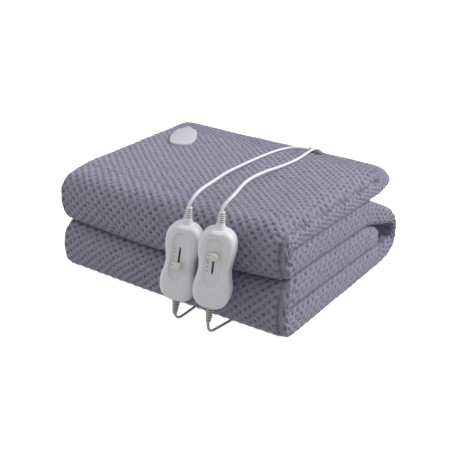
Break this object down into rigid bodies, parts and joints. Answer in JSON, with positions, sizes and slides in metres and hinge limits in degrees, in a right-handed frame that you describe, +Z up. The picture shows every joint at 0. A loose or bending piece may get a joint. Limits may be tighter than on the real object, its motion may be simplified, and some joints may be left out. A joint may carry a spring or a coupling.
{
  "type": "folded electric heated blanket",
  "caption": "Electric heated blanket in textured fleece, folded into a stack of layers, with slide heat controllers on leads hanging at its front and mains leads with plugs coiled behind.",
  "frame": {"origin": "middle of the folded stack's flat underside", "axes": "+X along the front folds towards the folded edge, +Y from the front folds to the back, +Z up"},
  "size_m": [0.3991, 0.4744, 0.2033],
  "materials": {
    "fleece": "soft waffle-knit fleece, lilac grey",
    "shell_white": "satin moulded plastic, off-white",
    "slider_cream": "satin moulded plastic, cream",
    "relief_grey": "matt soft plastic, light grey",
    "lead_white": "smooth flexible sheath, white",
    "mains_grey": "smooth flexible sheath, mid grey",
    "plug_grey": "matt moulded plastic, mid grey",
    "pin_nickel": "nickel-plated brass"
  },
  "bodies": {
    "root": {"blanket": "fleece", "cover_plate": "shell_white", "controller_left": "shell_white", "upper_relief_left": "relief_grey", "lower_relief_left": "relief_grey", "gland_left": "relief_grey", "lead_left": "lead_white", "mains_cord_left": "mains_grey", "mains_coil_left": "mains_grey", "mains_tail_left": "mains_grey", "plug_left": "plug_grey", "plug_left_pin_1": "pin_nickel", "plug_left_pin_2": "pin_nickel", "controller_right": "shell_white", "upper_relief_right": "relief_grey", "lower_relief_right": "relief_grey", "gland_right": "relief_grey", "lead_right": "lead_white", "mains_cord_right": "mains_grey", "mains_coil_right": "mains_grey", "mains_tail_right": "mains_grey", "plug_right": "plug_grey", "plug_right_pin_1": "pin_nickel", "plug_right_pin_2": "pin_nickel"},
    "slider_left": {"slider_left": "slider_cream"},
    "slider_right": {"slider_right": "slider_cream"}
  },
  "joints": [
    {"name": "heat_left", "type": "slide", "parent": "root", "child": "slider_left", "axis": [0.0988, 0.1116, 0.9888], "range_m": [0, 0.0233]},
    {"name": "heat_right", "type": "slide", "parent": "root", "child": "slider_right", "axis": [0.0696, 0.1103, 0.9915], "range_m": [-0.0233, 0]}
  ]
}
